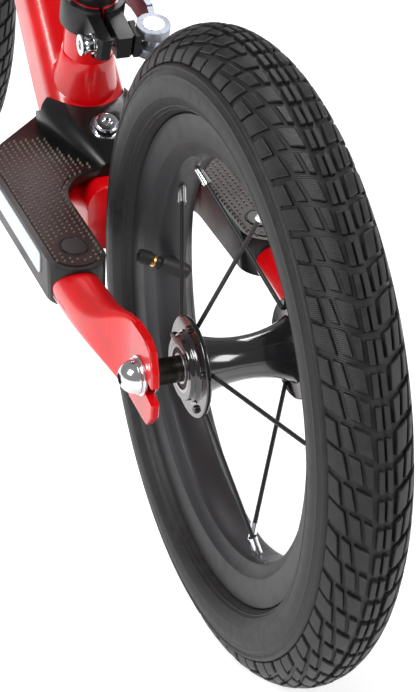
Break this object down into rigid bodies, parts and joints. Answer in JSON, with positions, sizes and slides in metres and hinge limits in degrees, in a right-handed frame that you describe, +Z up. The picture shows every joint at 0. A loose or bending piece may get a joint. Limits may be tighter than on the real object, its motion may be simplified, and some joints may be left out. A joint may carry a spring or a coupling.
{
  "type": "balance bike",
  "caption": "Child's pushbike without pedals: curved red frame with a black footrest, spoked wheels with road tyres, quick-release seat and handlebar clamps, saddle, fork and grips.",
  "frame": {"origin": "on the ground, half way between the two axles, on the bike's middle plane", "axes": "+X forward along the bike, +Y to the rider's left, +Z up"},
  "size_m": [0.832, 0.3904, 0.5877],
  "materials": {
    "red_paint": "glossy",
    "black_paint": "satin",
    "tyre_rubber": "matte",
    "tube_rubber": "matte",
    "grip_rubber": "matte",
    "rim_grey": "matte",
    "hub_black": "glossy",
    "clamp_black": "satin",
    "lever_silver": "satin",
    "bearing_steel": "satin",
    "spoke_black": "satin",
    "axle_dark": "satin",
    "headset_dark": "satin",
    "rail_steel": "satin",
    "bright_steel": "polished",
    "footrest_black": "glossy",
    "footrest_maroon": "dotted",
    "black_plastic": "matte",
    "saddle_cover": "grained"
  },
  "bodies": {
    "frame": {"main_tube": "red_paint", "chain_stay_left": "red_paint", "chain_stay_right": "red_paint", "seat_tube": "red_paint", "head_tube": "red_paint", "headset_cups": "headset_dark", "footrest_shell": "footrest_black", "footrest_grip_left": "footrest_maroon", "footrest_grip_right": "footrest_maroon", "footrest_bolt": "bright_steel", "rear_axle": "axle_dark", "rear_axle_spacers": "axle_dark", "rear_axle_washers": "bright_steel", "rear_axle_bolts": "bright_steel", "seat_clamp_collar": "clamp_black", "seat_clamp_saddle": "black_plastic", "seat_clamp_bolt": "bright_steel"},
    "seat_lever": {"seat_clamp_lever": "lever_silver"},
    "seat": {"seat_post": "black_paint", "seat_post_plug": "black_plastic", "saddle_base": "black_plastic", "saddle_cushion": "saddle_cover", "saddle_rails": "rail_steel", "saddle_clamp_lower": "rail_steel", "saddle_clamp_upper": "rail_steel", "saddle_clamp_bolt": "bright_steel"},
    "rear_wheel": {"rear_tyre": "tyre_rubber", "rear_inner_tube": "tube_rubber", "rear_rim": "rim_grey", "rear_hub": "hub_black", "rear_bearings": "bearing_steel", "rear_spokes": "spoke_black", "rear_nipples": "bright_steel", "rear_valve": "tube_rubber"},
    "steering": {"steerer_tube": "black_paint", "crown_race": "headset_dark", "headset_lock_ring": "headset_dark", "fork_crown": "red_paint", "fork_blade_left": "red_paint", "fork_blade_right": "red_paint", "front_axle": "axle_dark", "front_axle_spacers": "axle_dark", "front_axle_washers": "bright_steel", "front_axle_bolts": "bright_steel", "bar_clamp_collar": "clamp_black", "bar_clamp_saddle": "black_plastic", "bar_clamp_bolt": "bright_steel"},
    "bar_lever": {"bar_clamp_lever": "lever_silver"},
    "handlebar": {"handlebar_post": "black_paint", "handlebar": "black_paint", "grip_left": "grip_rubber", "grip_right": "grip_rubber"},
    "front_wheel": {"front_tyre": "tyre_rubber", "front_inner_tube": "tube_rubber", "front_rim": "rim_grey", "front_hub": "hub_black", "front_bearings": "bearing_steel", "front_spokes": "spoke_black", "front_nipples": "bright_steel", "front_valve": "tube_rubber"}
  },
  "joints": [
    {"name": "rear_wheel_spin", "type": "hinge", "parent": "frame", "child": "rear_wheel", "pos_m": [-0.27, 0, 0.146], "axis": [0, 1, 0], "continuous": true},
    {"name": "steering_turn", "type": "hinge", "parent": "frame", "child": "steering", "pos_m": [0.25309, 0, 0.13984], "axis": [-0.342, 0, 0.9397], "continuous": true},
    {"name": "front_wheel_spin", "type": "hinge", "parent": "steering", "child": "front_wheel", "pos_m": [0.27, 0, 0.146], "axis": [0, 1, 0], "continuous": true},
    {"name": "seat_height", "type": "slide", "parent": "frame", "child": "seat", "axis": [-0.2538, 0, 0.9673], "range_m": [-0.01, 0.035]},
    {"name": "handlebar_height", "type": "slide", "parent": "steering", "child": "handlebar", "axis": [-0.342, 0, 0.9397], "range_m": [-0.02, 0.05]},
    {"name": "seat_lever_turn", "type": "hinge", "parent": "frame", "child": "seat_lever", "pos_m": [-0.0861, -0.0216, 0.21677], "axis": [-0.2538, 0, 0.9673], "range_deg": [-165, 0]},
    {"name": "bar_lever_turn", "type": "hinge", "parent": "steering", "child": "bar_lever", "pos_m": [0.12267, -0.0216, 0.41482], "axis": [-0.342, 0, 0.9397], "range_deg": [-165, 0]}
  ]
}
